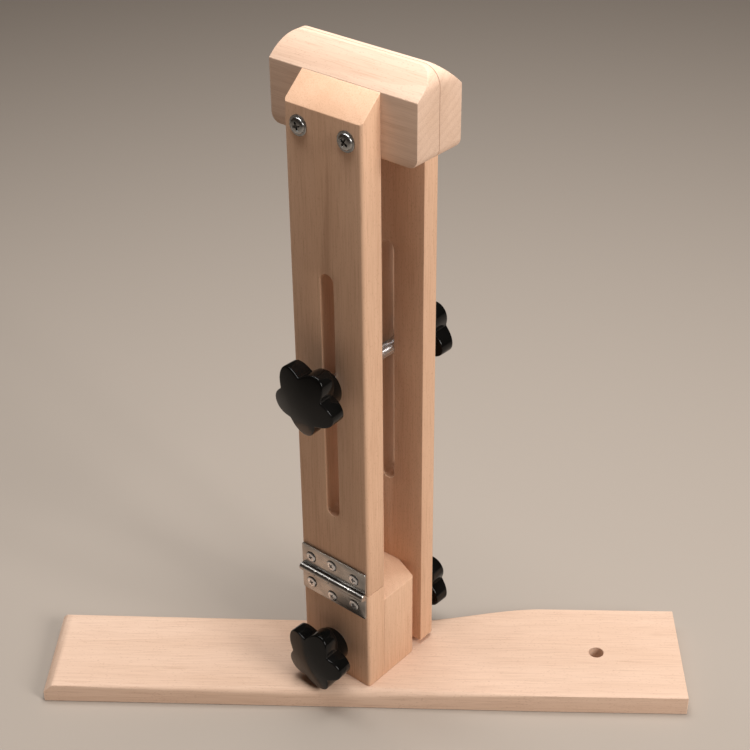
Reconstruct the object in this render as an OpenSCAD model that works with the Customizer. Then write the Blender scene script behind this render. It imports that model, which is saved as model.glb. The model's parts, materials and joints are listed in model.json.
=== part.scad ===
// Leather stitching pony: an upright clamp with wooden jaws that swivels on a long base plank.
// Millimetres. +X along the width of the jaws, +Y from the hinged front board to the rear board,
// +Z up. The origin is on the swivel axis at the underside of the plank.

/* [Base plank] */
// Length of the plank
plank_len = 495; // [470:5:560]
// Thickness of the plank
plank_t = 16.5; // [15:0.5:24]
// Width of the wide, drilled half
plank_wide = 100; // [96:1:110]
// Distance from the centre line to the back edge of the narrow half
narrow_back = 36; // [34:0.5:40]
// Turn of the plank under the upright, in degrees
plank_turn = 38.2; // [0:0.1:90]
// How far the swivel axis lies from the middle of the plank, towards the narrow end
swivel_off = 1.5; // [0:0.1:5]
// Distance from the middle of the plank to the peg hole
peg_x = 181.5; // [150:0.5:200]
// Diameter of the peg hole
peg_d = 11.5; // [8:0.5:16]
// Depth of the bevel along the top arris beside the upright
arris_mid = 6; // [2:0.5:8]
// Depth of the bevel across the end of the narrow half
arris_end = 4; // [1:0.5:8]

/* [Upright] */
// Width of the boards and the block
board_w = 65; // [60:1:80]
// Thickness of the front board
front_t = 18.5; // [16:0.5:20]
// Thickness of the rear board
rear_t = 15.5; // [14:0.5:20]
// Space between the two boards
throat = 44; // [40:1:50]
// Height of the seam where the front board is hinged, above the plank
seam_h = 89.5; // [88:0.5:100]
// Height of the spacer block
block_h = 75.3; // [70:0.1:80]
// Height of the underside of the rear board above the plank
rear_lift = 4; // [2:0.5:8]
// Radius of the long arrises of the boards
arris_r = 2.5; // [1:0.5:4]
// Width of the slots in the boards
slot_w = 12; // [11.5:0.5:14]
// Height of the bottom of the slots above the plank
slot_low = 149; // [140:1:160]
// Height of the top of the slots above the plank
slot_high = 349.5; // [340:0.5:360]

/* [Jaw pads] */
// Length of the jaw pads
pad_len = 123; // [110:1:140]
// Height of the underside of the pads above the plank
pad_low = 435.5; // [425:0.5:440]
// Height of the outer shoulder of the pads above the plank
pad_shoulder = 479.6; // [475:0.1:485]
// Height of the ridge above the plank
pad_high = 496; // [494:1:502]
// Width of the flat left on the ridge of each pad
ridge_w = 3.2; // [2:0.2:5]
// Gap between the closed pads
pad_gap = 0.3; // [0.2:0.1:1]

/* [Hinge] */
// Length of the hinge
hinge_len = 62; // [56:1:64]
// Overall height of the open hinge
hinge_h = 42; // [38:1:46]
// Thickness of the leaves
leaf_t = 1.8; // [1.2:0.2:2.2]
// Radius of the barrel
barrel_r = 3; // [2.6:0.1:3.4]
// Radius of the pin
pin_r = 1.5; // [1.2:0.1:1.6]

/* [Rods and knobs] */
// Radius of the threaded rods
rod_r = 5; // [4.8:0.1:5.2]
// Height of the clamp rod above the plank
clamp_h = 263; // [180:1:320]
// Height of the lower rod above the plank
lower_h = 28.7; // [28.7:0.1:32]
// Outer radius of the star knobs
knob_r = 27.4; // [24:0.1:27.5]
// Radius at the valleys between the lobes
valley_r = 19.3; // [18:0.1:20]
// Overall height of a knob with its hub
knob_h = 29.5; // [27:0.5:32]
// Thickness of the lobed head of a knob at its middle
lobe_h = 16.7; // [12:0.1:17]
// Radius of the domed face of a knob
dome_r = 80; // [70:5:120]
// Radius of the hub of a knob
hub_r = 14; // [12:0.5:16]
// Thickness of the washer under each knob
washer_t = 2; // [1.5:0.5:3]

/* [Hidden] */
$fn = 64;
cut = 1;                       // how far a cutter runs past a face
face_gap = 0.15;               // gap between flat faces that move past each other
run_gap = 0.05;                // radial running clearance on a shaft
front_y = -(front_t + throat) / 2;     // outer face of the front board
throat_y = front_y + front_t;          // inner face of the front board
rear_y = throat_y + throat;            // inner face of the rear board
back_y = rear_y + rear_t;              // outer face of the rear board
seam_y = throat_y + throat / 2;        // plane where the two pads meet
deck = plank_t;                        // top of the plank
ridge_z = deck + pad_high;
shoulder_z = deck + pad_shoulder;
slope = (pad_high - pad_shoulder) / (throat / 2 - ridge_w);   // rise of the slanted tops
seam_z = deck + seam_h;
seam_half = 0.15;
barrel_y = front_y - barrel_r - 0.1;   // axis of the hinge

// plank shape
wide_y = plank_wide / 2;
front_narrow = 47.3;                   // front edge at the narrow end
front_mid = 48.9;                      // and beside the upright
arris_reach = 60;                      // size of the cutters for the bevels
flare_from = 30;
flare_to = 140;
flare_steps = 12;
arris_stop = 140;                      // where the bevel has run out to nothing
arris_small = 1;
swivel_side = 1.2;                     // and how far it lies behind the centre line
narrow_x = -plank_len / 2;
wide_x = plank_len / 2;

// swivel bolt
swivel_r = 5;
swivel_run = 0.08;
head_pocket_r = 13;
head_pocket_h = 9;
head_flats = 16;
head_h = 6.4;
swivel_washer_r = 10.5;
swivel_washer_t = 2;
head_top = head_pocket_h - swivel_washer_t;
insert_r = 7;
insert_len = 18;
bolt_top = deck + 20;
foot_z = deck + face_gap;              // underside of the post and the block
rod_hole_r = rod_r + 0.25;

// corner taken off the back of the block
corner_from = 11;
corner_to = 31.3;
corner_y = 8.5;

// pads
pad_top_r = 13;
pad_low_r = 7;
pad_screw_x = 20;
pad_screw_z = deck + 450;
pad_screw_len = 30;
pad_screw_r = 2.25;
pad_head_r = 7.2;
pad_flange_h = 1;
pad_head_h = 2.6;

// hinge: where the knuckles end, as shares of its length
knuckles = [0, 0.246, 0.472, 0.777, 1];
knuckle_gap = 0.2;
leaf_clear = 0.3;
hinge_screw_x = [-22, -1.5, 20];
upper_screw_z = [11.5, 13.5, 11.5];
lower_screw_z = [12.5, 15.5, 12.5];
hinge_screw_r = 1.75;
hinge_head_r = 4.2;
hinge_head_h = 2.6;
head_rim = 0.3;
head_proud = 1;
hinge_screw_len = 16;

// knobs
lobes = 5;
lobe_r = 9.5;
knob_insert_r = 8;
knob_insert_len = 20;
knob_bore_h = 22.5;
rod_in_knob = 20;
washer_r = 10.5;
washer_bore = rod_r + 0.08;
front_seat = front_y - face_gap;               // where the front washers rest
rear_seat = back_y + face_gap;                 // where the rear washers rest
knob_off = washer_t + face_gap;                // from a seat to the knob's hub
rod_reach = face_gap + knob_off + rod_in_knob; // from a board's face to the rod's end

wood = [0.86, 0.76, 0.63];
wood_end = [0.82, 0.71, 0.58];
steel = [0.72, 0.73, 0.75];
dark_steel = [0.35, 0.36, 0.38];
black = [0.05, 0.05, 0.055];
brass = [0.76, 0.62, 0.34];

// Plank

function ease(t) = t <= 0 ? 0 : t >= 1 ? 1 : t * t * (3 - 2 * t);
function back_edge(x) = narrow_back
    + (wide_y - narrow_back) * ease((x - flare_from) / (flare_to - flare_from));

module plank_outline() {
    polygon(concat(
        [[narrow_x, -front_narrow], [0, -front_mid], [arris_stop, -wide_y]],
        [[wide_x, -wide_y], [wide_x, wide_y]],
        [for (i = [flare_steps : -1 : 0])
            let (x = flare_from + (flare_to - flare_from) * i / flare_steps) [x, back_edge(x)]],
        [[narrow_x, narrow_back - 1]]
    ));
}

// Cuts a bevel along the top arris from p to q, with the wood on the left of that line.
// The bevel's width goes from a to b, and the cutter runs on by before and after.
module arris_cut(p, q, a, b, before, after) {
    run = norm(q - p);
    turn = atan2(q[1] - p[1], q[0] - p[0]);
    translate([p[0], p[1], deck]) rotate([0, 0, turn]) rotate([45, 0, 0])
        translate([0, 0, -a / sqrt(2)]) rotate([0, atan((b - a) / sqrt(2) / run), 0])
            translate([-before, -arris_reach, 0])
                cube([run + before + after, 2 * arris_reach, arris_reach]);
}

module plank_blank() difference() {
    linear_extrude(plank_t) plank_outline();
    translate([peg_x, 0, -cut]) cylinder(d = peg_d, h = plank_t + 2 * cut);
    // bevels along the front arris, widest beside the upright
    arris_cut([narrow_x, -front_narrow], [0, -front_mid], arris_small, arris_mid, 20, 0);
    arris_cut([0, -front_mid], [arris_stop, -wide_y], arris_mid, -0.5, 0, 20);
    // and along the back arris
    arris_cut([flare_to, wide_y], [flare_from, narrow_back], -1.5, arris_mid, 20, 0);
    arris_cut([flare_from, narrow_back], [narrow_x, narrow_back - 1], arris_mid, arris_small,
        0, 20);
    // bevel across the narrow end
    translate([narrow_x, 0, deck - arris_end]) rotate([0, -45, 0])
        translate([-arris_reach, -plank_wide, 0])
            cube([2 * arris_reach, 2 * plank_wide, arris_reach]);
}

module base_plank() color(wood) difference() {
    rotate([0, 0, plank_turn]) translate([swivel_off, -swivel_side, 0]) plank_blank();
    translate([0, 0, -cut]) cylinder(r = swivel_r + swivel_run, h = plank_t + 2 * cut);
    translate([0, 0, -cut]) cylinder(r = head_pocket_r, h = head_pocket_h + cut);
}

// Swivel

module swivel_bolt() color(dark_steel) {
    translate([0, 0, head_top - head_h]) cylinder(d = head_flats / cos(30), h = head_h, $fn = 6);
    translate([0, 0, head_top]) cylinder(r = swivel_r, h = bolt_top - head_top);
}

module swivel_washer() color(steel) translate([0, 0, head_top]) difference() {
    cylinder(r = swivel_washer_r, h = swivel_washer_t - face_gap);
    translate([0, 0, -cut]) cylinder(r = swivel_r + 0.2, h = swivel_washer_t + 2 * cut);
}

module swivel_insert() color(brass) translate([0, 0, foot_z]) difference() {
    cylinder(r = insert_r, h = insert_len);
    translate([0, 0, -cut]) cylinder(r = swivel_r, h = insert_len + 2 * cut);
}

// The blind hole in the wood that takes the insert and the bolt's end.
module swivel_hole() translate([0, 0, foot_z - cut]) {
    cylinder(r = insert_r, h = insert_len + cut);
    cylinder(r = swivel_r + 0.5, h = bolt_top - foot_z + cut + 1);
}

// Upright

// A round hole or rod along Y from y0 to y1.
module along_y(x, z, y0, y1, r) translate([x, y0, z]) rotate([-90, 0, 0])
    cylinder(r = r, h = y1 - y0);

// Cross-section of a board; each pair of its corners is softened or left square.
module board_section(y0, y1, soft_front, soft_back) {
    half = board_w / 2;
    a = soft_front ? arris_r : 0;
    b = soft_back ? arris_r : 0;
    translate([-half, y0 + a]) square([board_w, y1 - y0 - a - b]);
    translate([-half + arris_r, y0]) square([board_w - 2 * arris_r, y1 - y0]);
    if (soft_front) for (s = [-1, 1])
        translate([s * (half - arris_r), y0 + arris_r]) circle(r = arris_r);
    if (soft_back) for (s = [-1, 1])
        translate([s * (half - arris_r), y1 - arris_r]) circle(r = arris_r);
}

// A side outline, drawn as [y, z] points, made as wide as w.
module from_side(points, w) translate([-w / 2, 0, 0]) rotate([90, 0, 90])
    linear_extrude(w) polygon(points);

// The slot for the clamp rod.
module rod_slot(y0, y1) {
    r = slot_w / 2;
    translate([0, y1 + cut, deck]) rotate([90, 0, 0]) linear_extrude(y1 - y0 + 2 * cut) {
        translate([-r, slot_low + r]) square([slot_w, slot_high - slot_low - slot_w]);
        for (z = [slot_low + r, slot_high - r]) translate([0, z]) circle(r = r);
    }
}

module lower_front_post() color(wood) difference() {
    translate([0, 0, foot_z]) linear_extrude(seam_z - seam_half - foot_z)
        board_section(front_y, throat_y, true, false);
    along_y(0, deck + lower_h, front_y - cut, throat_y + cut, rod_hole_r);
    hinge_screw_holes(lower_screw_z, -1);
    swivel_hole();
}

module spacer_block() color(wood) difference() {
    half = board_w / 2;
    translate([0, 0, foot_z]) linear_extrude(block_h + deck - foot_z) polygon([
        [-half, throat_y], [half, throat_y], [half, rear_y - corner_y - 1.3],
        [corner_to, rear_y - corner_y], [corner_from, rear_y], [-half, rear_y]
    ]);
    along_y(0, deck + lower_h, throat_y - cut, rear_y + cut, rod_hole_r);
    swivel_hole();
}

module rear_board() color(wood) difference() {
    intersection() {
        translate([0, 0, deck + rear_lift]) linear_extrude(pad_high)
            board_section(rear_y, back_y, false, true);
        from_side([
            [rear_y, deck], [back_y, deck], [back_y, shoulder_z - slope * rear_t],
            [rear_y, shoulder_z]
        ], board_w);
    }
    along_y(0, deck + lower_h, rear_y - cut, back_y + cut, rod_hole_r);
    rod_slot(rear_y, back_y);
    pad_screw_holes(1);
}

module front_board() color(wood) difference() {
    intersection() {
        translate([0, 0, seam_z + seam_half]) linear_extrude(pad_high)
            board_section(front_y, throat_y, true, false);
        from_side([
            [front_y, deck], [throat_y, deck], [throat_y, shoulder_z],
            [front_y, shoulder_z - slope * front_t]
        ], board_w);
    }
    rod_slot(front_y, throat_y);
    pad_screw_holes(-1);
    hinge_screw_holes(upper_screw_z, 1);
}

// Jaw pads

// The pad seen from the front, with rounded ends.
module pad_outline() {
    half = pad_len / 2;
    low = deck + pad_low;
    translate([-half, low + pad_low_r]) square([pad_len, ridge_z - low - pad_low_r - pad_top_r]);
    translate([-half + pad_low_r, low]) square([pad_len - 2 * pad_low_r, pad_low_r + cut]);
    translate([-half + pad_top_r, ridge_z - pad_top_r - cut])
        square([pad_len - 2 * pad_top_r, pad_top_r + cut]);
    for (s = [-1, 1]) {
        translate([s * (half - pad_low_r), low + pad_low_r]) circle(r = pad_low_r);
        translate([s * (half - pad_top_r), ridge_z - pad_top_r]) circle(r = pad_top_r);
    }
}

// side -1 is the front pad and 1 the rear pad
module jaw_pad(side) color(wood_end) difference() {
    near = side * pad_gap / 2;
    far = side * throat / 2;
    intersection() {
        translate([0, seam_y + throat / 2, 0]) rotate([90, 0, 0]) linear_extrude(throat)
            pad_outline();
        from_side([for (p = [
            [near, deck], [near, ridge_z], [side * ridge_w, ridge_z], [far, shoulder_z],
            [far, deck]
        ]) [seam_y + p[0], p[1]]], pad_len);
    }
    pad_screw_holes(side);
}

module front_jaw_pad() jaw_pad(-1);
module rear_jaw_pad() jaw_pad(1);

// Turns a thing drawn with its axis on +Z, head at the bottom, to face into the board.
module from_face(side, x, z) translate([x, side < 0 ? front_y : back_y, z])
    rotate([side < 0 ? -90 : 90, 0, 0]) children();

module pad_screw_holes(side) for (x = [-pad_screw_x, pad_screw_x])
    from_face(side, x, pad_screw_z) translate([0, 0, -cut])
        cylinder(r = pad_screw_r, h = pad_screw_len + cut);

module cross_recess(size, depth) for (a = [0, 90]) rotate([0, 0, a])
    translate([-size / 2, -size / 10, -cut]) cube([size, size / 5, depth + cut]);

module pad_screws(side) color(dark_steel) for (x = [-pad_screw_x, pad_screw_x])
    from_face(side, x, pad_screw_z) difference() {
        union() {
            cylinder(r = pad_screw_r, h = pad_screw_len);
            translate([0, 0, -pad_flange_h]) cylinder(r = pad_head_r, h = pad_flange_h);
            translate([0, 0, -pad_head_h])
                cylinder(r1 = pad_head_r - 2.4, r2 = pad_head_r - 1, h = pad_head_h);
        }
        translate([0, 0, -pad_head_h]) cross_recess(7.6, 2);
    }

module front_pad_screws() pad_screws(-1);
module rear_pad_screws() pad_screws(1);

// Hinge

// One knuckle of the barrel, n counted from the left.
module knuckle(n) {
    gap = knuckle_gap / 2;
    x0 = hinge_len * (knuckles[n] - 0.5) + (n == 0 ? 0 : gap);
    x1 = hinge_len * (knuckles[n + 1] - 0.5) - (n == 3 ? 0 : gap);
    translate([x0, barrel_y, seam_z]) rotate([0, 90, 0]) cylinder(r = barrel_r, h = x1 - x0);
}

// The tongue that joins a knuckle to its leaf; side 1 is the upper leaf.
module tongue(n, side) {
    gap = knuckle_gap / 2;
    x0 = hinge_len * (knuckles[n] - 0.5) + (n == 0 ? 0 : gap);
    x1 = hinge_len * (knuckles[n + 1] - 0.5) - (n == 3 ? 0 : gap);
    h = barrel_r + leaf_clear + 1;
    translate([x0, front_y - leaf_t, side > 0 ? seam_z : seam_z - h]) cube([x1 - x0, leaf_t, h]);
}

module leaf(side, own, bore_r, screw_z) difference() {
    z0 = side > 0 ? seam_z + barrel_r + leaf_clear : seam_z - hinge_h / 2;
    union() {
        translate([-hinge_len / 2, front_y - leaf_t, z0])
            cube([hinge_len, leaf_t, hinge_h / 2 - barrel_r - leaf_clear]);
        for (n = own) {
            knuckle(n);
            tongue(n, side);
        }
    }
    translate([-hinge_len, barrel_y, seam_z]) rotate([0, 90, 0])
        cylinder(r = bore_r, h = 2 * hinge_len);
    hinge_screw_holes(screw_z, side);
}

module hinge_upper_leaf() color(steel) leaf(1, [0, 2], pin_r + run_gap, upper_screw_z);
module hinge_lower_leaf() color(steel) leaf(-1, [1, 3], pin_r, lower_screw_z);

module hinge_pin() color(steel) translate([-hinge_len / 2, barrel_y, seam_z])
    rotate([0, 90, 0]) cylinder(r = pin_r, h = hinge_len);

// The places of the screws in one leaf; side 1 is above the seam.
module at_hinge_screws(offsets, side) for (i = [0 : 2])
    translate([hinge_screw_x[i], front_y - leaf_t, seam_z + side * offsets[i]])
        rotate([-90, 0, 0]) children();

// A countersunk screw whose head stands out of the leaf by over.
module hinge_screw_shape(over) {
    translate([0, 0, -over]) cylinder(r = hinge_head_r, h = over + head_rim);
    translate([0, 0, head_rim])
        cylinder(r1 = hinge_head_r, r2 = hinge_screw_r, h = hinge_head_h - head_rim);
    cylinder(r = hinge_screw_r, h = hinge_screw_len);
}

module hinge_screw_holes(offsets, side) at_hinge_screws(offsets, side) hinge_screw_shape(cut);

module hinge_screws(offsets, side) color(steel) at_hinge_screws(offsets, side) difference() {
    hinge_screw_shape(head_proud);
    translate([0, 0, -head_proud]) cross_recess(5, 1.5);
}

module hinge_upper_screws() hinge_screws(upper_screw_z, 1);
module hinge_lower_screws() hinge_screws(lower_screw_z, -1);

// Rods and knobs

module clamp_rod() color(steel)
    along_y(0, deck + clamp_h, front_y - rod_reach, back_y + rod_reach, rod_r);

module lower_rod() color(steel)
    along_y(0, deck + lower_h, front_y - rod_reach, back_y + rod_reach, rod_r);

// Places a thing drawn along +Z so that it points outwards from a board; side -1 is the front.
module outwards(side, z) translate([0, side < 0 ? front_seat : rear_seat, z])
    rotate([side < 0 ? 90 : -90, 0, 0]) children();

module rod_washer(side, z) color(steel) outwards(side, z) difference() {
    cylinder(r = washer_r, h = washer_t);
    translate([0, 0, -cut]) cylinder(r = washer_bore, h = washer_t + 2 * cut);
}

module star_outline() {
    circle(r = valley_r);
    for (i = [0 : lobes - 1]) rotate([0, 0, i * 360 / lobes])
        translate([knob_r - lobe_r, 0]) circle(r = lobe_r);
}

module star_knob(side, z, turn) color(black) outwards(side, z)
    translate([0, 0, knob_off]) rotate([0, 0, turn]) difference() {
        union() {
            cylinder(r = hub_r, h = knob_h - lobe_h + cut);
            intersection() {
                translate([0, 0, knob_h - lobe_h]) linear_extrude(lobe_h) star_outline();
                translate([0, 0, knob_h - dome_r]) sphere(r = dome_r);
            }
        }
        translate([0, 0, -cut]) cylinder(r = knob_insert_r, h = knob_insert_len + cut);
        translate([0, 0, -cut]) cylinder(r = rod_r + 0.5, h = knob_bore_h + cut);
    }

module knob_insert(side, z) color(brass) outwards(side, z) translate([0, 0, knob_off])
    difference() {
        cylinder(r = knob_insert_r, h = knob_insert_len);
        translate([0, 0, -cut]) cylinder(r = rod_r + run_gap, h = knob_insert_len + 2 * cut);
    }

module clamp_front_washer() rod_washer(-1, deck + clamp_h);
module clamp_rear_washer() rod_washer(1, deck + clamp_h);
module lower_front_washer() rod_washer(-1, deck + lower_h);
module lower_rear_washer() rod_washer(1, deck + lower_h);

module clamp_front_knob() star_knob(-1, deck + clamp_h, -14.5);
module clamp_rear_knob() star_knob(1, deck + clamp_h, 20);
module lower_front_knob() star_knob(-1, deck + lower_h, 0);
module lower_rear_knob() star_knob(1, deck + lower_h, 25);

module clamp_front_insert() knob_insert(-1, deck + clamp_h);
module clamp_rear_insert() knob_insert(1, deck + clamp_h);
module lower_front_insert() knob_insert(-1, deck + lower_h);
module lower_rear_insert() knob_insert(1, deck + lower_h);

base_plank();
swivel_bolt();
swivel_washer();
swivel_insert();
lower_front_post();
spacer_block();
rear_board();
front_board();
front_jaw_pad();
rear_jaw_pad();
front_pad_screws();
rear_pad_screws();
hinge_upper_leaf();
hinge_lower_leaf();
hinge_pin();
hinge_upper_screws();
hinge_lower_screws();
clamp_rod();
lower_rod();
clamp_front_washer();
clamp_front_knob();
clamp_front_insert();
clamp_rear_washer();
clamp_rear_knob();
clamp_rear_insert();
lower_front_washer();
lower_front_knob();
lower_front_insert();
lower_rear_washer();
lower_rear_knob();
lower_rear_insert();
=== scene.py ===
import bpy, bmesh, json, math
from mathutils import Matrix, Vector


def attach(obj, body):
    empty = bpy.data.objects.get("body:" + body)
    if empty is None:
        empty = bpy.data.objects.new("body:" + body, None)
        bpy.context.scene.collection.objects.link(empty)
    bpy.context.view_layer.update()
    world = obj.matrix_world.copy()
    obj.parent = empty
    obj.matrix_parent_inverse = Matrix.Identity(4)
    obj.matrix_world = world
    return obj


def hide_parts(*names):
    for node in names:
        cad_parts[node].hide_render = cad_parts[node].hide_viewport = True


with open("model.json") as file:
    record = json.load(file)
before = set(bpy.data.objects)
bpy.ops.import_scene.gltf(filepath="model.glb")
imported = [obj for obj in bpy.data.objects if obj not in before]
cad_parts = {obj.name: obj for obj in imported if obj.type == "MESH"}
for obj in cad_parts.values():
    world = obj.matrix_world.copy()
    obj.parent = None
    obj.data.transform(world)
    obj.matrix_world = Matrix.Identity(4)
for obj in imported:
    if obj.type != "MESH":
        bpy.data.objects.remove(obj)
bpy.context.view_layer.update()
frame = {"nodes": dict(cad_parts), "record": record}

mm = 0.001
weldReach = 0.000002
smoothBelow = 35  # degrees; sharper edges stay sharp
woodSmooth = 32
arrisFrom = 38  # degrees; the edges that get a small rounding
print("stitching pony: frame loaded,", len(frame["nodes"]), "parts")


# Mesh helpers

def box(bm, low, high):
    size = [h - l for l, h in zip(low, high)]
    middle = [(l + h) / 2 for l, h in zip(low, high)]
    place = Matrix.Translation(Vector(middle) * mm) @ Matrix.Diagonal(Vector(size) * mm).to_4x4()
    return bmesh.ops.create_cube(bm, size=1, matrix=place)["verts"]


def soften(bm, edges, width, steps):
    return bmesh.ops.bevel(bm, geom=edges, offset=width * mm, offset_type="OFFSET", segments=steps,
                           profile=0.5, affect="EDGES", material=-1, clamp_overlap=True)


def crispEdges(bm, degrees):
    limit = math.radians(degrees)
    return [e for e in bm.edges if len(e.link_faces) == 2 and e.calc_face_angle(0) > limit]


def planeOff(bm, through, outwards):
    # saws off what lies beyond a plane and closes the cut
    made = bmesh.ops.bisect_plane(bm, geom=bm.verts[:] + bm.edges[:] + bm.faces[:], dist=0.000001,
                                  plane_co=through, plane_no=outwards, clear_outer=True)["geom_cut"]
    bmesh.ops.contextual_create(bm, geom=[g for g in made if isinstance(g, bmesh.types.BMEdge)])


def turnedShape(bm, rings, steps=48, closeStart=True, closeEnd=True, loop=False):
    # rings: (height, radius), each a number or a function of the angle
    def place(verts, height, radius):
        for v in verts:
            a = v[angle]
            r = radius(a) if callable(radius) else radius
            h = height(a) if callable(height) else height
            v.co = Vector((math.cos(a) * r, math.sin(a) * r, h)) * mm
    angle = bm.verts.layers.float.get("angle") or bm.verts.layers.float.new("angle")
    verts = bmesh.ops.create_circle(bm, segments=steps, radius=1)["verts"]
    for v in verts:
        v[angle] = math.atan2(v.co.y, v.co.x)
    place(verts, *rings[0])
    edges = list({e for v in verts for e in v.link_edges})
    firstEdges = edges
    if closeStart:
        bmesh.ops.contextual_create(bm, geom=edges)
    allVerts = list(verts)
    for ring in rings[1:]:
        made = bmesh.ops.extrude_edge_only(bm, edges=edges)["geom"]
        verts = [g for g in made if isinstance(g, bmesh.types.BMVert)]
        ringVerts = set(verts)
        edges = [g for g in made if isinstance(g, bmesh.types.BMEdge)
                 and g.verts[0] in ringVerts and g.verts[1] in ringVerts]
        place(verts, *ring)
        allVerts += verts
    if loop:
        bmesh.ops.bridge_loops(bm, edges=firstEdges + edges)
    elif closeEnd:
        bmesh.ops.contextual_create(bm, geom=edges)
    return allVerts


def spun(degrees):
    return Matrix.Rotation(math.radians(degrees), 4, "Z")


def outFrom(side, x, y, z):
    # turns a shape drawn along +Z so that it stands out of a board's face; side -1 is the front
    turn = Matrix.Rotation(math.radians(-90 * side), 4, "X")
    return Matrix.Translation(Vector((x, y, z)) * mm) @ turn


def carve(piece, tool, crossing=False):
    # takes the tool's shape out of the piece and keeps the result as a plain mesh
    cutMesh = bpy.data.meshes.new("cutter")
    tool.to_mesh(cutMesh)
    tool.free()
    cutter = bpy.data.objects.new("cutter", cutMesh)
    bpy.context.scene.collection.objects.link(cutter)
    bite = piece.modifiers.new("bite", "BOOLEAN")
    bite.operation, bite.object = "DIFFERENCE", cutter
    bite.solver, bite.use_self = "EXACT", crossing
    bpy.context.view_layer.update()
    graph = bpy.context.evaluated_depsgraph_get()
    kept = bpy.data.meshes.new_from_object(piece.evaluated_get(graph))
    old = piece.data
    name = old.name
    piece.modifiers.remove(bite)
    piece.data = kept
    bpy.data.meshes.remove(old)
    kept.name = name
    bpy.data.objects.remove(cutter)
    bpy.data.meshes.remove(cutMesh)
    shade(kept, smoothBelow)


def shade(mesh, degrees):
    mesh.polygons.foreach_set("use_smooth", [True] * len(mesh.polygons))
    mesh.set_sharp_from_angle(angle=math.radians(degrees))


def fitOut(name, bm, body, slotName, material, *nodes, degrees=smoothBelow):
    bmesh.ops.remove_doubles(bm, verts=bm.verts[:], dist=weldReach)
    bmesh.ops.recalc_face_normals(bm, faces=bm.faces[:])
    mesh = bpy.data.meshes.new(name)
    bm.to_mesh(mesh)
    bm.free()
    shade(mesh, degrees)
    mesh.materials.append(material)
    piece = bpy.data.objects.new(name, mesh)
    bpy.context.scene.collection.objects.link(piece)
    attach(piece, body)
    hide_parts(*nodes)
    return piece


# Material helpers

def startMaterial(name, **settings):
    material = bpy.data.materials.new(name)
    material.use_nodes = True
    nodes = material.node_tree.nodes
    shader = nodes["Principled BSDF"]
    for key, value in settings.items():
        shader.inputs[key].default_value = value
    return material, material.node_tree, shader


def node(tree, kind, settings=None, **inputs):
    made = tree.nodes.new(kind)
    for key, value in (settings or {}).items():
        setattr(made, key, value)
    for key, value in inputs.items():
        numbered = key[0] == "i" and key[1:].isdigit()
        socket = made.inputs[int(key[1:])] if numbered else made.inputs[key]
        if isinstance(value, bpy.types.NodeSocket):
            tree.links.new(value, socket)
        else:
            socket.default_value = value
    return made


def scaled(tree, vector, scale, turn=(0, 0, 0), shift=(0, 0, 0)):
    return node(tree, "ShaderNodeMapping", {}, Vector=vector, Scale=scale, Rotation=turn,
                Location=shift).outputs[0]


def noise(tree, vector, detail=3.0, rough=0.5, scale=1.0):
    return node(tree, "ShaderNodeTexNoise", {}, Vector=vector, Scale=scale, Detail=detail,
                Roughness=rough).outputs["Fac"]


def spread(tree, value, low, high, toLow=0.0, toHigh=1.0):
    return node(tree, "ShaderNodeMapRange", {}, i0=value, i1=low, i2=high, i3=toLow,
                i4=toHigh).outputs[0]


def blendColour(tree, how, amount, a, b):
    made = tree.nodes.new("ShaderNodeMix")
    made.data_type, made.blend_type = "RGBA", how
    for socket, value in ((made.inputs[0], amount), (made.inputs[6], a), (made.inputs[7], b)):
        if isinstance(value, bpy.types.NodeSocket):
            tree.links.new(value, socket)
        else:
            socket.default_value = value
    return made.outputs[2]


def sums(tree, how, a, b):
    return node(tree, "ShaderNodeMath", {"operation": how}, i0=a, i1=b).outputs[0]


def edgeMask(tree, radius, low=0.02, high=0.25):
    # 1 on arrises, 0 on flat faces
    rounded = node(tree, "ShaderNodeBevel", {"samples": 6}, Radius=radius).outputs[0]
    flat = node(tree, "ShaderNodeNewGeometry").outputs["Normal"]
    dot = node(tree, "ShaderNodeVectorMath", {"operation": "DOT_PRODUCT"}, i0=rounded, i1=flat)
    return spread(tree, sums(tree, "SUBTRACT", 1.0, dot.outputs["Value"]), low, high)


def finishMaterial(material, tree, shader, colour, rough, bump, strength, depth):
    tree.links.new(colour, shader.inputs["Base Color"])
    tree.links.new(rough, shader.inputs["Roughness"])
    made = node(tree, "ShaderNodeBump", {}, Height=bump, Strength=strength, Distance=depth)
    tree.links.new(made.outputs[0], shader.inputs["Normal"])
    return material


# Materials

beechLook = dict(
    # the lighter edge colour, the last colour listed, is a painted highlight laid along the rounded arrises
    cream=(0.80, 0.585, 0.45, 1), rose=(0.71, 0.49, 0.355, 1), vein=(0.60, 0.385, 0.265, 1),
    fleck=(0.42, 0.23, 0.14, 1), edgeHighlight=(0.86, 0.67, 0.53, 1), gloss=0.35,
    # noise scales: along the grain, then across it twice
    wander=(2.2, 16, 16), fibre=(34, 1300, 1300), streak=(5, 260, 260), mottle=(3.2, 24, 24),
    fleckGrid=(330, 1500, 1500), ringGap=0.0065, ringStretch=0.10, ringBend=0.020,
    streakShow=0.20, fibreShow=0.44, fleckShow=0.5, highlightRadius=0.0016,
    roughLow=0.50, roughHigh=0.68, bumpStrength=0.28, bumpDepth=0.0002)
bandRepeat = 0.314  # metres between the bands of a wave texture at scale 1
plainTint = (1, 1, 1, 1)
uprightTint = (0.985, 0.88, 0.775, 1)


def mixIn(tree, amount, colour, other):
    return blendColour(tree, "MIX", amount, colour, other)


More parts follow.
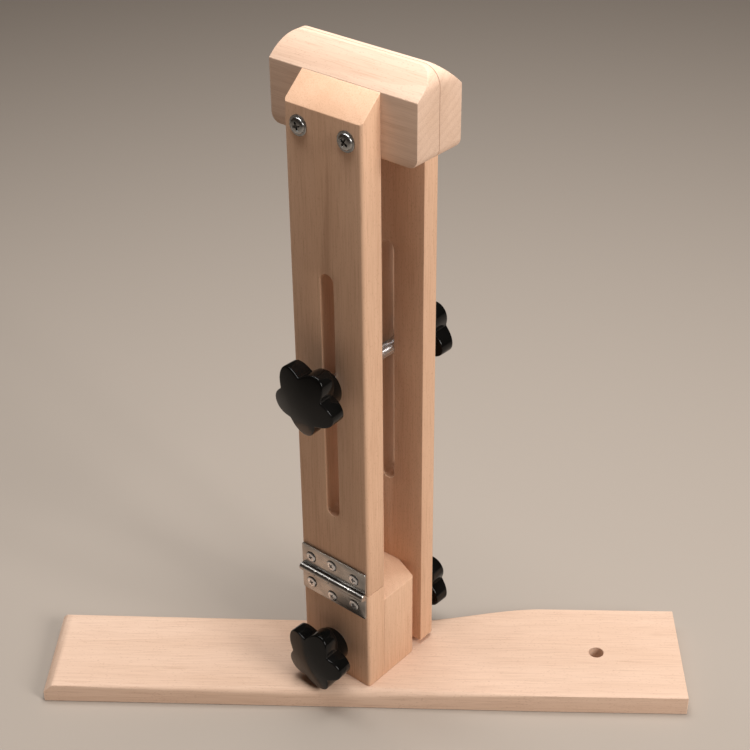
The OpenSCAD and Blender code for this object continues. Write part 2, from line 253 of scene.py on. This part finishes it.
def beech(name, turn, shift, ringTurn, tint=plainTint, ringShow=0.13):
    # turn brings the grain onto X
    look = beechLook
    material, tree, shader = startMaterial(name, **{"Specular IOR Level": look["gloss"]})
    place = node(tree, "ShaderNodeTexCoord").outputs["Object"]
    grain = scaled(tree, place, (1, 1, 1), [math.radians(t) for t in turn], shift)
    wander = noise(tree, scaled(tree, grain, look["wander"]), 2.0)
    cross = scaled(tree, grain, (look["ringStretch"], 1, 1), (math.radians(ringTurn), 0, 0))
    bent = node(tree, "ShaderNodeVectorMath", {"operation": "MULTIPLY_ADD"}, i0=wander,
                i1=(look["ringBend"],) * 3, i2=cross).outputs[0]
    rings = node(tree, "ShaderNodeTexWave", {"wave_type": "BANDS", "bands_direction": "Y",
                 "wave_profile": "SAW"}, Vector=bent, Scale=bandRepeat / look["ringGap"],
                 Distortion=1.2, Detail=2.0).outputs["Fac"]
    fibre = noise(tree, scaled(tree, grain, look["fibre"]), 4.0, 0.6)
    streak = noise(tree, scaled(tree, grain, look["streak"]), 3.0, 0.55)
    mottle = noise(tree, scaled(tree, grain, look["mottle"]), 3.0, 0.5)
    spots = node(tree, "ShaderNodeTexVoronoi", {"feature": "F1"},
                 Vector=scaled(tree, grain, look["fleckGrid"]), Scale=1.0, Randomness=1.0)
    spot = spread(tree, spots.outputs["Distance"], 0.34, 0.16)
    chosen = spread(tree, spots.outputs["Color"], 0.55, 0.75)
    fleck = sums(tree, "MULTIPLY", spot, chosen)
    colour = mixIn(tree, spread(tree, mottle, 0.22, 0.78), look["cream"], look["rose"])
    colour = mixIn(tree, spread(tree, rings, 0.45, 1.0, 0.0, ringShow), colour, look["vein"])
    colour = mixIn(tree, spread(tree, streak, 0.45, 0.75, 0.0, look["streakShow"]), colour,
                   look["vein"])
    colour = mixIn(tree, spread(tree, fibre, 0.50, 0.76, 0.0, look["fibreShow"]), colour,
                   look["fleck"])
    colour = mixIn(tree, sums(tree, "MULTIPLY", fleck, look["fleckShow"]), colour, look["fleck"])
    # painted highlight: the rounded arrises are mixed towards a lighter colour, unevenly along the mottle
    paintedHighlight = sums(tree, "MULTIPLY", edgeMask(tree, look["highlightRadius"]),
                spread(tree, mottle, 0.3, 0.7, 0.15, 0.6))
    colour = mixIn(tree, paintedHighlight, colour, look["edgeHighlight"])
    colour = blendColour(tree, "MULTIPLY", 1.0, colour, tint)
    rough = spread(tree, fibre, 0.3, 0.7, look["roughLow"], look["roughHigh"])
    bump = sums(tree, "SUBTRACT", sums(tree, "ADD", fibre, sums(tree, "MULTIPLY", streak, 0.6)),
                sums(tree, "MULTIPLY", fleck, 0.25))
    return finishMaterial(material, tree, shader, colour, rough, bump, look["bumpStrength"],
                          look["bumpDepth"])


# the edge settings below set a painted highlight along the metal edges
metalLook = dict(smudge=(70, 70, 70), pits=(900, 900, 900), linesShow=0.35, highlightShow=0.6,
                 highlightRadius=0.0005, brighter=1.25, bumpStrength=0.10, bumpDepth=0.00006)


def metal(name, base, dark, roughLow, roughHigh, brush):
    # brush: how finely each axis is scratched
    look = metalLook
    material, tree, shader = startMaterial(name, Metallic=1.0)
    place = node(tree, "ShaderNodeTexCoord").outputs["Object"]
    lines = noise(tree, scaled(tree, place, brush), 3.0, 0.6)
    smudge = noise(tree, scaled(tree, place, look["smudge"]), 3.0, 0.5)
    pits = noise(tree, scaled(tree, place, look["pits"]), 2.0, 0.6)
    colour = mixIn(tree, spread(tree, smudge, 0.35, 0.7), base, dark)
    colour = mixIn(tree, spread(tree, lines, 0.5, 0.8, 0.0, look["linesShow"]), colour, dark)
    bright = tuple(min(1.0, c * look["brighter"]) for c in base[:3]) + (1,)
    # painted highlight: the edges are mixed towards a brighter copy of the base colour
    paintedHighlight = sums(tree, "MULTIPLY", edgeMask(tree, look["highlightRadius"]), look["highlightShow"])
    colour = mixIn(tree, paintedHighlight, colour, bright)
    uneven = sums(tree, "ADD", sums(tree, "MULTIPLY", lines, 0.7),
                  sums(tree, "MULTIPLY", smudge, 0.5))
    rough = spread(tree, uneven, 0.35, 0.85, roughLow, roughHigh)
    bump = sums(tree, "ADD", lines, sums(tree, "MULTIPLY", pits, 0.3))
    return finishMaterial(material, tree, shader, colour, rough, bump, look["bumpStrength"],
                          look["bumpDepth"])


# the lighter edge colour and the edge settings below make a painted highlight on the knob rims
plasticLook = dict(
    black=(0.0022, 0.0024, 0.0022, 1), greyer=(0.0042, 0.004, 0.0038, 1),
    dusty=(0.12, 0.11, 0.10, 1), edgeHighlight=(0.035, 0.033, 0.03, 1), gloss=0.22,
    flow=(60, 60, 60), peel=(420, 420, 420), dust=(2600, 2600, 2600),
    dustShow=0.05, highlightShow=0.5, highlightRadius=0.0007,
    roughLow=0.08, roughHigh=0.2, bumpStrength=0.06, bumpDepth=0.0002)


def mouldedPlastic(name):
    look = plasticLook
    material, tree, shader = startMaterial(name, **{"Specular IOR Level": look["gloss"]})
    place = node(tree, "ShaderNodeTexCoord").outputs["Object"]
    flow = noise(tree, scaled(tree, place, look["flow"]), 3.0, 0.5)
    orangePeel = noise(tree, scaled(tree, place, look["peel"]), 2.0, 0.5)
    dust = noise(tree, scaled(tree, place, look["dust"]), 2.0, 0.6)
    colour = mixIn(tree, spread(tree, flow, 0.3, 0.7), look["black"], look["greyer"])
    colour = mixIn(tree, spread(tree, dust, 0.70, 0.82, 0.0, look["dustShow"]), colour,
                   look["dusty"])
    # painted highlight: the moulded edges are mixed towards a lighter grey rim
    paintedHighlight = sums(tree, "MULTIPLY", edgeMask(tree, look["highlightRadius"]), look["highlightShow"])
    colour = mixIn(tree, paintedHighlight, colour, look["edgeHighlight"])
    uneven = sums(tree, "ADD", flow, sums(tree, "MULTIPLY", dust, 0.5))
    rough = spread(tree, uneven, 0.5, 1.0, look["roughLow"], look["roughHigh"])
    return finishMaterial(material, tree, shader, colour, rough, orangePeel,
                          look["bumpStrength"], look["bumpDepth"])


plankTurn = 38.2
alongUpright = (0, 90, 0)
uprightBeech = beech("beechUpright", alongUpright, (0.013, 0.021, 0.007), 20, uprightTint)
rearBeech = beech("beechRearBoard", alongUpright, (0.231, 0.094, 0.157), 65, uprightTint)
blockBeech = beech("beechBlock", alongUpright, (0.431, 0.194, 0.257), 40, uprightTint)
plankBeech = beech("beechPlank", (0, 0, -plankTurn), (0.337, 0.155, 0.291), 78)
padBeech = beech("beechPads", (0, 0, 0), (0.621, 0.355, 0.129), 62, ringShow=0.3)
stainless = metal("brushedStainless", (0.44, 0.42, 0.395, 1), (0.27, 0.255, 0.24, 1),
                  0.20, 0.40, (60, 900, 2600))
zincSteel = metal("brightZinc", (0.70, 0.705, 0.71, 1), (0.52, 0.52, 0.53, 1),
                  0.18, 0.38, (400, 60, 400))
screwSteel = metal("darkScrewSteel", (0.46, 0.46, 0.45, 1), (0.25, 0.25, 0.25, 1),
                   0.16, 0.34, (500, 500, 500))
turnedBrass = metal("turnedBrass", (0.72, 0.52, 0.24, 1), (0.50, 0.34, 0.15, 1),
                    0.2, 0.4, (500, 120, 500))
knobPlastic = mouldedPlastic("blackKnobPlastic")
print("materials ready")


# Base plank

plank = dict(length=495, thick=16.5, shift=(1.5, -1.2), frontNarrow=-47.3, frontMid=-48.9,
             frontWide=-50, backNarrow=35, backMid=36, backWide=50, flareFrom=30, flareTo=140,
             bevelSmall=1.2, bevelMid=7.5, endBevelFront=7.0, endBevelBack=3.2, arcSteps=7,
             soft=0.5, pegX=181.5, pegRadius=5.75, swivelRadius=5.08, pocketRadius=13, pocketDepth=9)


def between(a, b, t):
    return a + (b - a) * max(0.0, min(1.0, t))


def plankEdges(x):
    p = plank
    half = p["length"] / 2
    front = between(p["frontNarrow"], p["frontMid"], (x + half) / half) if x < 0 else \
        between(p["frontMid"], p["frontWide"], x / p["flareTo"])
    t = max(0.0, min(1.0, (x - p["flareFrom"]) / (p["flareTo"] - p["flareFrom"])))
    back = between(p["backNarrow"], p["backMid"], (x + half) / (half + p["flareFrom"])) \
        + (p["backWide"] - p["backMid"]) * t * t * (3 - 2 * t)
    bevel = between(p["bevelSmall"], p["bevelMid"], (x + half) / half) if x < 0 else \
        between(p["bevelMid"], p["soft"], x / p["flareTo"])
    return front, back, bevel


def plankLoop(x, inset=0.0):
    # one cross-section, from the front bottom arris round over the top
    p = plank
    front, back, bevel = plankEdges(x)
    front, back = front + inset, back - inset
    top, steps = p["thick"] - inset, p["arcSteps"]
    drop = min(bevel, 7.0)
    points = [(front + p["soft"] + inset * 0.3, inset), (front, p["soft"] + inset)]
    for side, edge in ((1, front), (-1, back)):
        arc = []
        for i in range(steps + 1):
            a = math.radians(90 * i / steps)
            arc.append((edge + side * bevel * (1 - math.cos(a)), top - drop * (1 - math.sin(a))))
        points += arc if side == 1 else arc[::-1]
    points += [(back, p["soft"] + inset), (back - p["soft"] - inset * 0.3, inset)]
    half = p["length"] / 2
    lowered = []
    for y, z in points:
        bite = between(p["endBevelFront"], p["endBevelBack"], (y - front) / (back - front))
        lowered.append((y, min(z, top - max(0.0, bite - (x + half)))))
    return lowered


def makePlank():
    p = plank
    half = p["length"] / 2
    stations = [-half + d for d in (0, 0.5, 1.5, 3.2, 4.5, 5.8, 7.0, 9.0, 16)]
    stations += [-half + 16 + (half + p["flareFrom"] - 16) * i / 24 for i in range(1, 25)]
    stations += [p["flareFrom"] + (p["flareTo"] - p["flareFrom"]) * i / 22 for i in range(1, 23)]
    stations += [p["flareTo"] + (half - 0.5 - p["flareTo"]) * i / 10 for i in range(1, 11)] + [half]
    bm = bmesh.new()
    order = bm.verts.layers.int.new("order")
    first = plankLoop(stations[0])
    verts = [bm.verts.new((stations[0] * mm, y * mm, z * mm)) for y, z in first]
    for i, v in enumerate(verts):
        v[order] = i
    edges = [bm.edges.new((verts[i], verts[(i + 1) % len(verts)])) for i in range(len(verts))]
    bmesh.ops.contextual_create(bm, geom=edges)
    for x in stations[1:]:
        made = bmesh.ops.extrude_edge_only(bm, edges=edges)["geom"]
        ring = {g for g in made if isinstance(g, bmesh.types.BMVert)}
        edges = [g for g in made if isinstance(g, bmesh.types.BMEdge)
                 and g.verts[0] in ring and g.verts[1] in ring]
        section = plankLoop(x, 0.4 if x == half else 0.0)
        for v in ring:
            y, z = section[v[order]]
            v.co = (x * mm, y * mm, z * mm)
    bmesh.ops.contextual_create(bm, geom=edges)
    place = spun(plankTurn) @ Matrix.Translation(Vector((*p["shift"], 0)) * mm)
    bmesh.ops.transform(bm, matrix=place, verts=bm.verts[:])
    piece = fitOut("plank", bm, "plank", "beech", plankBeech, "base_plank", degrees=30)
    tool = bmesh.new()
    r, t = p["pegRadius"], p["thick"]
    peg = turnedShape(tool, [(-1, r + 0.5), (0, r + 0.5), (0.5, r), (t - 0.5, r), (t, r + 0.5),
                             (t + 1, r + 0.5)])
    bmesh.ops.transform(tool, matrix=place @ Matrix.Translation((p["pegX"] * mm, 0, 0)), verts=peg)
    turnedShape(tool, [(-1, p["pocketRadius"]), (p["pocketDepth"], p["pocketRadius"]),
                       (p["pocketDepth"], p["swivelRadius"]), (t + 1, p["swivelRadius"])])
    bmesh.ops.recalc_face_normals(tool, faces=tool.faces[:])
    carve(piece, tool)
    return piece


makePlank()
print("base plank ready")


# Upright

deck = plank["thick"]
upright = dict(width=65, front=-31.25, throat=-12.75, rear=31.25, back=46.75, foot=16.65,
               seam=106, seamHalf=0.15, blockTop=91.8, rearFoot=20.5, shoulder=496.1,
               ridge=512.5, ridgeWidth=3.2, arris=2.5, small=0.45, slotWidth=12, slotLow=165.5, slotHigh=366)
slope = (upright["ridge"] - upright["shoulder"]) / (22 - upright["ridgeWidth"])


def makeBoard(name, body, material, node, y0, y1, z0, frontSide):
    u = upright
    half, slot = u["width"] / 2, u["slotWidth"] / 2
    besideSlot = lambda v: u["slotLow"] * mm * 0.99 < v.co.z < u["slotHigh"] * mm * 1.01
    topAt = lambda y: u["shoulder"] - slope * abs(y - (u["throat"] if frontSide else u["rear"]))
    columns, rows = (-half, -slot, slot, half), (z0, u["slotLow"], u["slotHigh"], 0)
    bm = bmesh.new()
    bmesh.ops.create_grid(bm, x_segments=3, y_segments=3, size=0.5)
    for v in bm.verts:
        i, j = round((v.co.x + 0.5) * 3), round((v.co.y + 0.5) * 3)
        v.co = Vector((columns[i], y0, rows[j] if j < 3 else topAt(y0))) * mm
    middle = [f for f in bm.faces if all(abs(v.co.x) < slot * mm * 1.01 for v in f.verts)
              and all(besideSlot(v) for v in f.verts)]
    bmesh.ops.delete(bm, geom=middle, context="FACES")
    made = bmesh.ops.extrude_face_region(bm, geom=bm.faces[:])["geom"]
    for v in (g for g in made if isinstance(g, bmesh.types.BMVert)):
        top = v.co.z > topAt(y0) * mm - 0.00001
        v.co.y = y1 * mm
        v.co.z = topAt(y1) * mm if top else v.co.z
    slotCorners = [e for e in bm.edges if abs(e.verts[0].co.y - e.verts[1].co.y) > 0.001
                   and abs(abs(e.verts[0].co.x) - slot * mm) < 0.0001
                   and besideSlot(e.verts[0])]
    soften(bm, slotCorners, slot - 0.05, 9)
    outer = y0 if frontSide else y1
    longEdges = [e for e in bm.edges if abs(e.verts[0].co.z - e.verts[1].co.z) > 0.02
                 and all(abs(abs(v.co.x) - half * mm) < 0.0001
                         and abs(v.co.y - outer * mm) < 0.0001 for v in e.verts)
                 and e.calc_face_angle(0) > 1]
    soften(bm, longEdges, u["arris"], 5)
    soften(bm, crispEdges(bm, arrisFrom), u["small"], 2)
    return fitOut(name, bm, body, "beech", material, node, degrees=woodSmooth)


def makeBlocks():
    u = upright
    half = u["width"] / 2
    bm = bmesh.new()
    box(bm, (-half, u["front"], u["foot"]), (half, u["throat"], u["seam"] - u["seamHalf"]))
    soften(bm, [e for e in bm.edges if all(abs(v.co.y - u["front"] * mm) < 0.0001 for v in e.verts)
                and abs(e.verts[0].co.z - e.verts[1].co.z) > 0.01], u["arris"], 5)
    soften(bm, crispEdges(bm, arrisFrom), u["small"], 2)
    fitOut("frontPost", bm, "stand", "beech", uprightBeech, "lower_front_post", degrees=woodSmooth)
    bm = bmesh.new()
    box(bm, (-half, u["throat"], u["foot"]), (half, u["rear"], u["blockTop"]))
    cutFrom, cutTo = Vector((11, u["rear"], 0)) * mm, Vector((31.3, u["rear"] - 8.5, 0)) * mm
    along = (cutTo - cutFrom).normalized()
    planeOff(bm, cutFrom, Vector((-along.y, along.x, 0)))
    soften(bm, [e for e in bm.edges
                if all(v.co.y > (u["rear"] - 12) * mm and v.co.x > 0.02 for v in e.verts)
                and abs(e.verts[0].co.z - e.verts[1].co.z) > 0.01], 3.0, 4)
    soften(bm, crispEdges(bm, arrisFrom), u["small"], 2)
    fitOut("spacerBlock", bm, "stand", "beech", blockBeech, "spacer_block", degrees=woodSmooth)


makeBoard("frontBoard", "front_jaw", uprightBeech, "front_board", upright["front"],
          upright["throat"], upright["seam"] + upright["seamHalf"], True)
makeBoard("rearBoard", "stand", rearBeech, "rear_board", upright["rear"], upright["back"],
          upright["rearFoot"], False)
makeBlocks()
print("upright ready")


# Jaw pads

pad = dict(length=123, low=452, gap=0.3, topRound=13, lowRound=7, small=0.5, seam=9.25, reach=22)


def makePad(name, body, node, side):
    half, u = pad["length"] / 2, upright
    near, far = pad["seam"] + side * pad["gap"] / 2, pad["seam"] + side * pad["reach"]
    bm = bmesh.new()
    box(bm, (-half, min(near, far), pad["low"]), (half, max(near, far), u["ridge"]))
    ends = lambda top: [e for e in bm.edges if abs(e.verts[0].co.y - e.verts[1].co.y) > 0.01
                        and (e.verts[0].co.z > 0.49) == top]
    soften(bm, ends(True), pad["topRound"], 12)
    soften(bm, [e for e in ends(False) if e.verts[0].co.z < pad["low"] * mm + 0.0001],
           pad["lowRound"], 8)
    ridge = Vector((0, pad["seam"] + side * u["ridgeWidth"], u["ridge"])) * mm
    planeOff(bm, ridge, Vector((0, side * slope, 1)).normalized())
    soften(bm, crispEdges(bm, 26), pad["small"], 2)
    return fitOut(name, bm, body, "pad_beech", padBeech, node, degrees=woodSmooth)


makePad("frontPad", "front_jaw", "front_jaw_pad", -1)
makePad("rearPad", "stand", "rear_jaw_pad", 1)
print("jaw pads ready")


# Screws

padScrew = dict(x=20, z=deck + 450, shank=2.25, length=30,
                head=[(0, 7.2), (0.75, 7.2), (1.0, 6.95), (1.05, 5.7), (1.7, 5.45), (2.25, 4.7),
                      (2.55, 3.6), (2.6, 2.0)],
                cross=8.2, crossWidth=2.0, crossDepth=2.1)
hingeScrew = dict(xs=(-22, -1.5, 20), upper=(11.5, 13.5, 11.5), lower=(12.5, 15.5, 12.5),
                  shank=1.7, length=15.5,
                  head=[(-2.4, 1.8), (-0.25, 3.8), (0.05, 4.15), (0.4, 4.2), (0.75, 3.9),
                        (0.95, 3.2), (1.0, 1.5)],
                  cross=5.4, crossWidth=1.5, crossDepth=1.5)


firstTurn, nextTurn = 20, 37  # degrees; no two crosses stand alike


def crossTool(tool, place, size, width, depth, top, turn):
    for a in (0, 90):
        verts = box(tool, (-size / 2, -width / 2, top - depth), (size / 2, width / 2, top + 1))
        low = [v for v in verts if v.co.z < (top - depth + 0.01) * mm]
        bmesh.ops.scale(tool, vec=(0.45, 0.6, 1), verts=low, space=Matrix.Identity(4))
        bmesh.ops.transform(tool, matrix=place @ spun(a + turn), verts=verts)


def makeScrews(name, body, slotName, node, screw, places):
    bm, tool = bmesh.new(), bmesh.new()
    top = screw["head"][-1][0]
    for i, place in enumerate(places):
        start = screw["head"][0][0]
        rings = [(-screw["length"], 0.3), (-screw["length"] + 3, screw["shank"]),
                 (start, screw["shank"])]
        verts = turnedShape(bm, rings + screw["head"], 40)
        bmesh.ops.transform(bm, matrix=place, verts=verts)
        crossTool(tool, place, screw["cross"], screw["crossWidth"], screw["crossDepth"], top,
                  firstTurn + nextTurn * i)
    bmesh.ops.recalc_face_normals(tool, faces=tool.faces[:])
    steel = screwSteel if slotName == "dark_steel" else zincSteel
    piece = fitOut(name, bm, body, slotName, steel, node)
    carve(piece, tool, True)
    print(name, "has", len(piece.data.vertices), "points")


for side, name, body, replaced, y in (
        (-1, "frontPadScrews", "front_jaw", "front_pad_screws", upright["front"]),
        (1, "rearPadScrews", "stand", "rear_pad_screws", upright["back"])):
    makeScrews(name, body, "dark_steel", replaced, padScrew,
               [outFrom(side, x, y, padScrew["z"]) for x in (-padScrew["x"], padScrew["x"])])
print("pad screws ready")


# Hinge

hinge = dict(length=62, height=42, leaf=1.8, barrel=3, pin=1.5, clear=0.3, gap=0.2, axisY=-34.35,
             knuckles=(0, 0.246, 0.472, 0.777, 1), holeRadius=4.75, small=0.25)


def makeLeaf(name, body, node, side, own, offsets):
    h, u = hinge, upright
    half, face, seam = h["length"] / 2, u["front"], u["seam"]
    near, far = seam + side * (h["barrel"] + h["clear"]), seam + side * h["height"] / 2
    bm = bmesh.new()
    box(bm, (-half, face - h["leaf"], min(near, far)), (half, face, max(near, far)))
    soften(bm, [e for e in bm.edges if abs(e.verts[0].co.y - e.verts[1].co.y) > 0.001
                and abs(e.verts[0].co.z - far * mm) < 0.0001], 1.2, 4)
    soften(bm, crispEdges(bm, arrisFrom), h["small"], 2)
    piece = fitOut(name, bm, body, "stainless", stainless, node)
    tool = bmesh.new()
    for x, offset in zip(hingeScrew["xs"], offsets):
        verts = turnedShape(tool, [(-h["leaf"] - 0.4, 2.4), (-h["leaf"], 2.4),
                                   (0, h["holeRadius"]), (0.4, h["holeRadius"] + 0.4)], 40)
        place = outFrom(-1, x, face - h["leaf"], seam + side * offset)
        bmesh.ops.transform(tool, matrix=place, verts=verts)
    bmesh.ops.recalc_face_normals(tool, faces=tool.faces[:])
    carve(piece, tool)
    bm = bmesh.new()
    bm.from_mesh(piece.data)
    for n in own:
        x0 = h["length"] * (h["knuckles"][n] - 0.5) + (0 if n == 0 else h["gap"] / 2)
        x1 = h["length"] * (h["knuckles"][n + 1] - 0.5) - (0 if n == 3 else h["gap"] / 2)
        r, b = h["barrel"], h["pin"] + 0.05
        verts = turnedShape(bm, [(x0, b), (x0, r - 0.4), (x0 + 0.4, r), (x1 - 0.4, r),
                                 (x1, r - 0.4), (x1, b)], 40, False, False, loop=True)
        bmesh.ops.transform(bm, matrix=Matrix.Translation(Vector((0, h["axisY"], seam)) * mm)
                            @ Matrix.Rotation(math.radians(90), 4, "Y"), verts=verts)
        reach = sorted((seam + side * 0.2, near + side * 0.6))
        tongue = box(bm, (x0, face - h["leaf"] + 0.15, reach[0]), (x1, face - 0.02, reach[1]))
        soften(bm, list({e for v in tongue for e in v.link_edges}), 0.12, 1)
    bm.to_mesh(piece.data)
    bm.free()
    shade(piece.data, smoothBelow)


makeLeaf("hingeUpperLeaf", "front_jaw", "hinge_upper_leaf", 1, (0, 2), hingeScrew["upper"])
makeLeaf("hingeLowerLeaf", "stand", "hinge_lower_leaf", -1, (1, 3), hingeScrew["lower"])
for side, name, body, replaced, offsets in (
        (1, "hingeUpperScrews", "front_jaw", "hinge_upper_screws", hingeScrew["upper"]),
        (-1, "hingeLowerScrews", "stand", "hinge_lower_screws", hingeScrew["lower"])):
    makeScrews(name, body, "stainless", replaced, hingeScrew,
               [outFrom(-1, x, upright["front"] - hinge["leaf"], upright["seam"] + side * z)
                for x, z in zip(hingeScrew["xs"], offsets)])
print("hinge ready")


# Threaded rods

rod = dict(radius=4.98, root=4.25, pitch=1.5, steps=28, clampZ=deck + 263, lowerZ=deck + 28.7,
           overhang=22.3)


def makeRod(name, body, node, z):
    r = rod
    y0, y1 = upright["front"] - r["overhang"], upright["back"] + r["overhang"]
    turns = int((y1 - y0 - 2) / r["pitch"]) - 1
    bm = bmesh.new()
    # one long row of thread teeth, wound once round the axis
    verts = []
    start = y0 + 1
    for i in range(turns):
        for share, radius in ((0.0, r["root"]), (0.12, r["root"]), (0.44, r["radius"]),
                              (0.56, r["radius"]), (0.88, r["root"])):
            verts.append(bm.verts.new((radius * mm, (start + (i + share) * r["pitch"]) * mm, 0)))
    verts.append(bm.verts.new((r["root"] * mm, (start + turns * r["pitch"]) * mm, 0)))
    edges = [bm.edges.new((a, b)) for a, b in zip(verts, verts[1:])]
    bmesh.ops.spin(bm, geom=verts + edges, cent=(0, 0, 0), axis=(0, 1, 0),
                   dvec=(0, r["pitch"] * mm / r["steps"], 0), angle=math.radians(360),
                   steps=r["steps"], use_merge=False)
    bmesh.ops.remove_doubles(bm, verts=bm.verts[:], dist=0.00002)
    for low, high in ((y0, start + r["pitch"] * 1.2), (start + (turns - 0.2) * r["pitch"], y1)):
        ends = sorted((low, high))
        core = r["root"] + 0.05
        verts = turnedShape(bm, [(ends[0], 3.6), (ends[0] + 0.8, core), (ends[1] - 0.8, core),
                                 (ends[1], 3.6)], r["steps"])
        bmesh.ops.transform(bm, matrix=Matrix.Rotation(math.radians(-90), 4, "X"), verts=verts)
    bmesh.ops.translate(bm, vec=(0, 0, z * mm), verts=bm.verts[:])
    return fitOut(name, bm, body, "bright_steel", zincSteel, node, degrees=25)


makeRod("clampRod", "rod_carriage", "clamp_rod", rod["clampZ"])
makeRod("lowerRod", "stand", "lower_rod", rod["lowerZ"])
print("rods ready")


# Star knobs

knob = dict(outer=27.4, valley=19.2, lobes=5, height=29.5, plate=16.7, dome=80, hub=14, bore=8,
            boreDeep=20, rodBore=5.5, blind=22.5, washer=2, gap=0.15, steps=160, sharp=0.72)


def starRadius(inset):
    # the outline of the lobes, drawn in by inset
    k = knob
    lobe = lambda a: (0.5 + 0.5 * math.cos(k["lobes"] * a)) ** k["sharp"]
    return lambda a: k["valley"] - inset + (k["outer"] - k["valley"]) * lobe(a)


def makeKnob(name, body, node, side, z, turn):
    k = knob
    top, under = k["height"], k["height"] - k["plate"]
    blend = lambda share: lambda a: starRadius(1.0)(a) * (1 - share) + (k["hub"] + 1.0) * share
    sag = lambda r: k["dome"] - math.sqrt(k["dome"] ** 2 - r * r)
    domed = lambda inset, drop: (lambda a: top - drop - sag(starRadius(inset)(a)),
                                 starRadius(inset))
    rings = [(top - 0.02 - sag(r), r) for r in (2, 5, 9, 13)]
    rings += [domed(3.2, 0.02), domed(1.6, 0.02), domed(0.95, 0.02), domed(0.6, 0.06),
              domed(0.3, 0.2), domed(0.1, 0.42), domed(0.02, 0.75), domed(0, 1.1)]
    rings += [(under + 6, starRadius(0.1)), (under + 0.9, starRadius(0.3)),
              (under + 0.4, starRadius(0.45)), (under + 0.1, starRadius(0.8)),
              (under, blend(0.1)), (under, blend(0.7)), (under - 0.2, blend(1.0))]
    rings += [(under - 1.2, k["hub"]), (0.5, k["hub"] - 0.3), (0.1, k["hub"] - 0.6),
              (0, k["hub"] - 1), (0, k["bore"]), (k["boreDeep"], k["bore"]),
              (k["boreDeep"], k["rodBore"]), (k["blind"], k["rodBore"])]
    bm = bmesh.new()
    verts = turnedShape(bm, rings, k["steps"])
    face = upright["front"] if side < 0 else upright["back"]
    seat = face + side * (2 * k["gap"] + k["washer"])
    bmesh.ops.transform(bm, matrix=outFrom(side, 0, seat, z) @ spun(turn), verts=verts)
    return fitOut(name, bm, body, "black_plastic", knobPlastic, node, degrees=38)


makeKnob("clampFrontKnob", "clamp_front_grip", "clamp_front_knob", -1, rod["clampZ"], -14.5)
makeKnob("clampRearKnob", "clamp_rear_grip", "clamp_rear_knob", 1, rod["clampZ"], 20)
makeKnob("lowerFrontKnob", "lower_front_grip", "lower_front_knob", -1, rod["lowerZ"], 0)
makeKnob("lowerRearKnob", "lower_rear_grip", "lower_rear_knob", 1, rod["lowerZ"], 25)
print("knobs ready")


# Small turned parts kept from the frame

keptFinish = {"brass": turnedBrass, "bright_steel": zincSteel, "dark_steel": screwSteel,
              "stainless": stainless}
slotOf = {s["node"]: s["material_slot"] for s in frame["record"]["subparts"]}
for name, part in frame["nodes"].items():
    if not part.hide_render and slotOf[name] in keptFinish:
        part.data.materials.clear()
        part.data.materials.append(keptFinish[slotOf[name]])


# Room, light and camera

room = dict(floor=(0.41, 0.355, 0.305, 1), sky=(0.80, 0.60, 0.46, 1), skyStrength=0.08)


def makeRoom():
    bm = bmesh.new()
    bmesh.ops.create_grid(bm, x_segments=2, y_segments=2, size=6)
    mesh = bpy.data.meshes.new("floor")
    bm.to_mesh(mesh)
    bm.free()
    floor = bpy.data.objects.new("floor", mesh)
    bpy.context.scene.collection.objects.link(floor)
    material = startMaterial("paleFloor", Roughness=0.85, **{"Base Color": room["floor"]})[0]
    mesh.materials.append(material)
    world = bpy.data.worlds.new("studio")
    bpy.context.scene.world = world
    world.use_nodes = True
    sky = world.node_tree.nodes["Background"]
    sky.inputs["Color"].default_value = room["sky"]
    sky.inputs["Strength"].default_value = room["skyStrength"]


def softBox(name, place, aim, size, power, colour):
    lamp = bpy.data.lights.new(name, "AREA")
    lamp.shape, lamp.size, lamp.size_y = "RECTANGLE", size[0], size[1]
    lamp.energy, lamp.color = power, colour
    holder = bpy.data.objects.new(name, lamp)
    holder.location = place
    holder.rotation_euler = (Vector(aim) - Vector(place)).to_track_quat("-Z", "Y").to_euler()
    bpy.context.scene.collection.objects.link(holder)


makeRoom()
middle = (0, 0, 0.25)
softBox("overheadBox", place=(0.0, 0.12, 1.6), aim=(0, 0.02, 0.2), size=(0.95, 0.95), power=25.5,
        colour=(1.0, 0.985, 0.97))
softBox("rightBox", place=(2.2, 0.04, 1.4), aim=middle, size=(0.9, 1.0), power=42,
        colour=(1.0, 0.965, 0.93))
softBox("leftBox", place=(-0.75, -0.15, 1.5), aim=middle, size=(0.3, 0.3), power=2.5,
        colour=(1.0, 1.0, 1.0))

viewpoint = dict(place=(0.6114, -0.6994, 0.8644), yaw=-40.47, pitch=32.53, roll=0.61, lens=75.136)
yaw, pitch, roll = (math.radians(viewpoint[k]) for k in ("yaw", "pitch", "roll"))
ahead = Vector((math.sin(yaw) * math.cos(pitch), math.cos(yaw) * math.cos(pitch), -math.sin(pitch)))
right = ahead.cross(Vector((0, 0, 1))).normalized()
down = ahead.cross(right)
rightTilted = math.cos(roll) * right + math.sin(roll) * down
downTilted = -math.sin(roll) * right + math.cos(roll) * down
lensData = bpy.data.cameras.new("camera")
lensData.lens, lensData.sensor_width, lensData.clip_start = viewpoint["lens"], 36, 0.01
camera = bpy.data.objects.new("camera", lensData)
turned = Matrix((rightTilted, -downTilted, -ahead)).transposed().to_4x4()
camera.matrix_world = Matrix.Translation(viewpoint["place"]) @ turned
bpy.context.scene.collection.objects.link(camera)
bpy.context.scene.camera = camera
bpy.context.scene.view_settings.view_transform = "Standard"
print("room, light and camera ready")
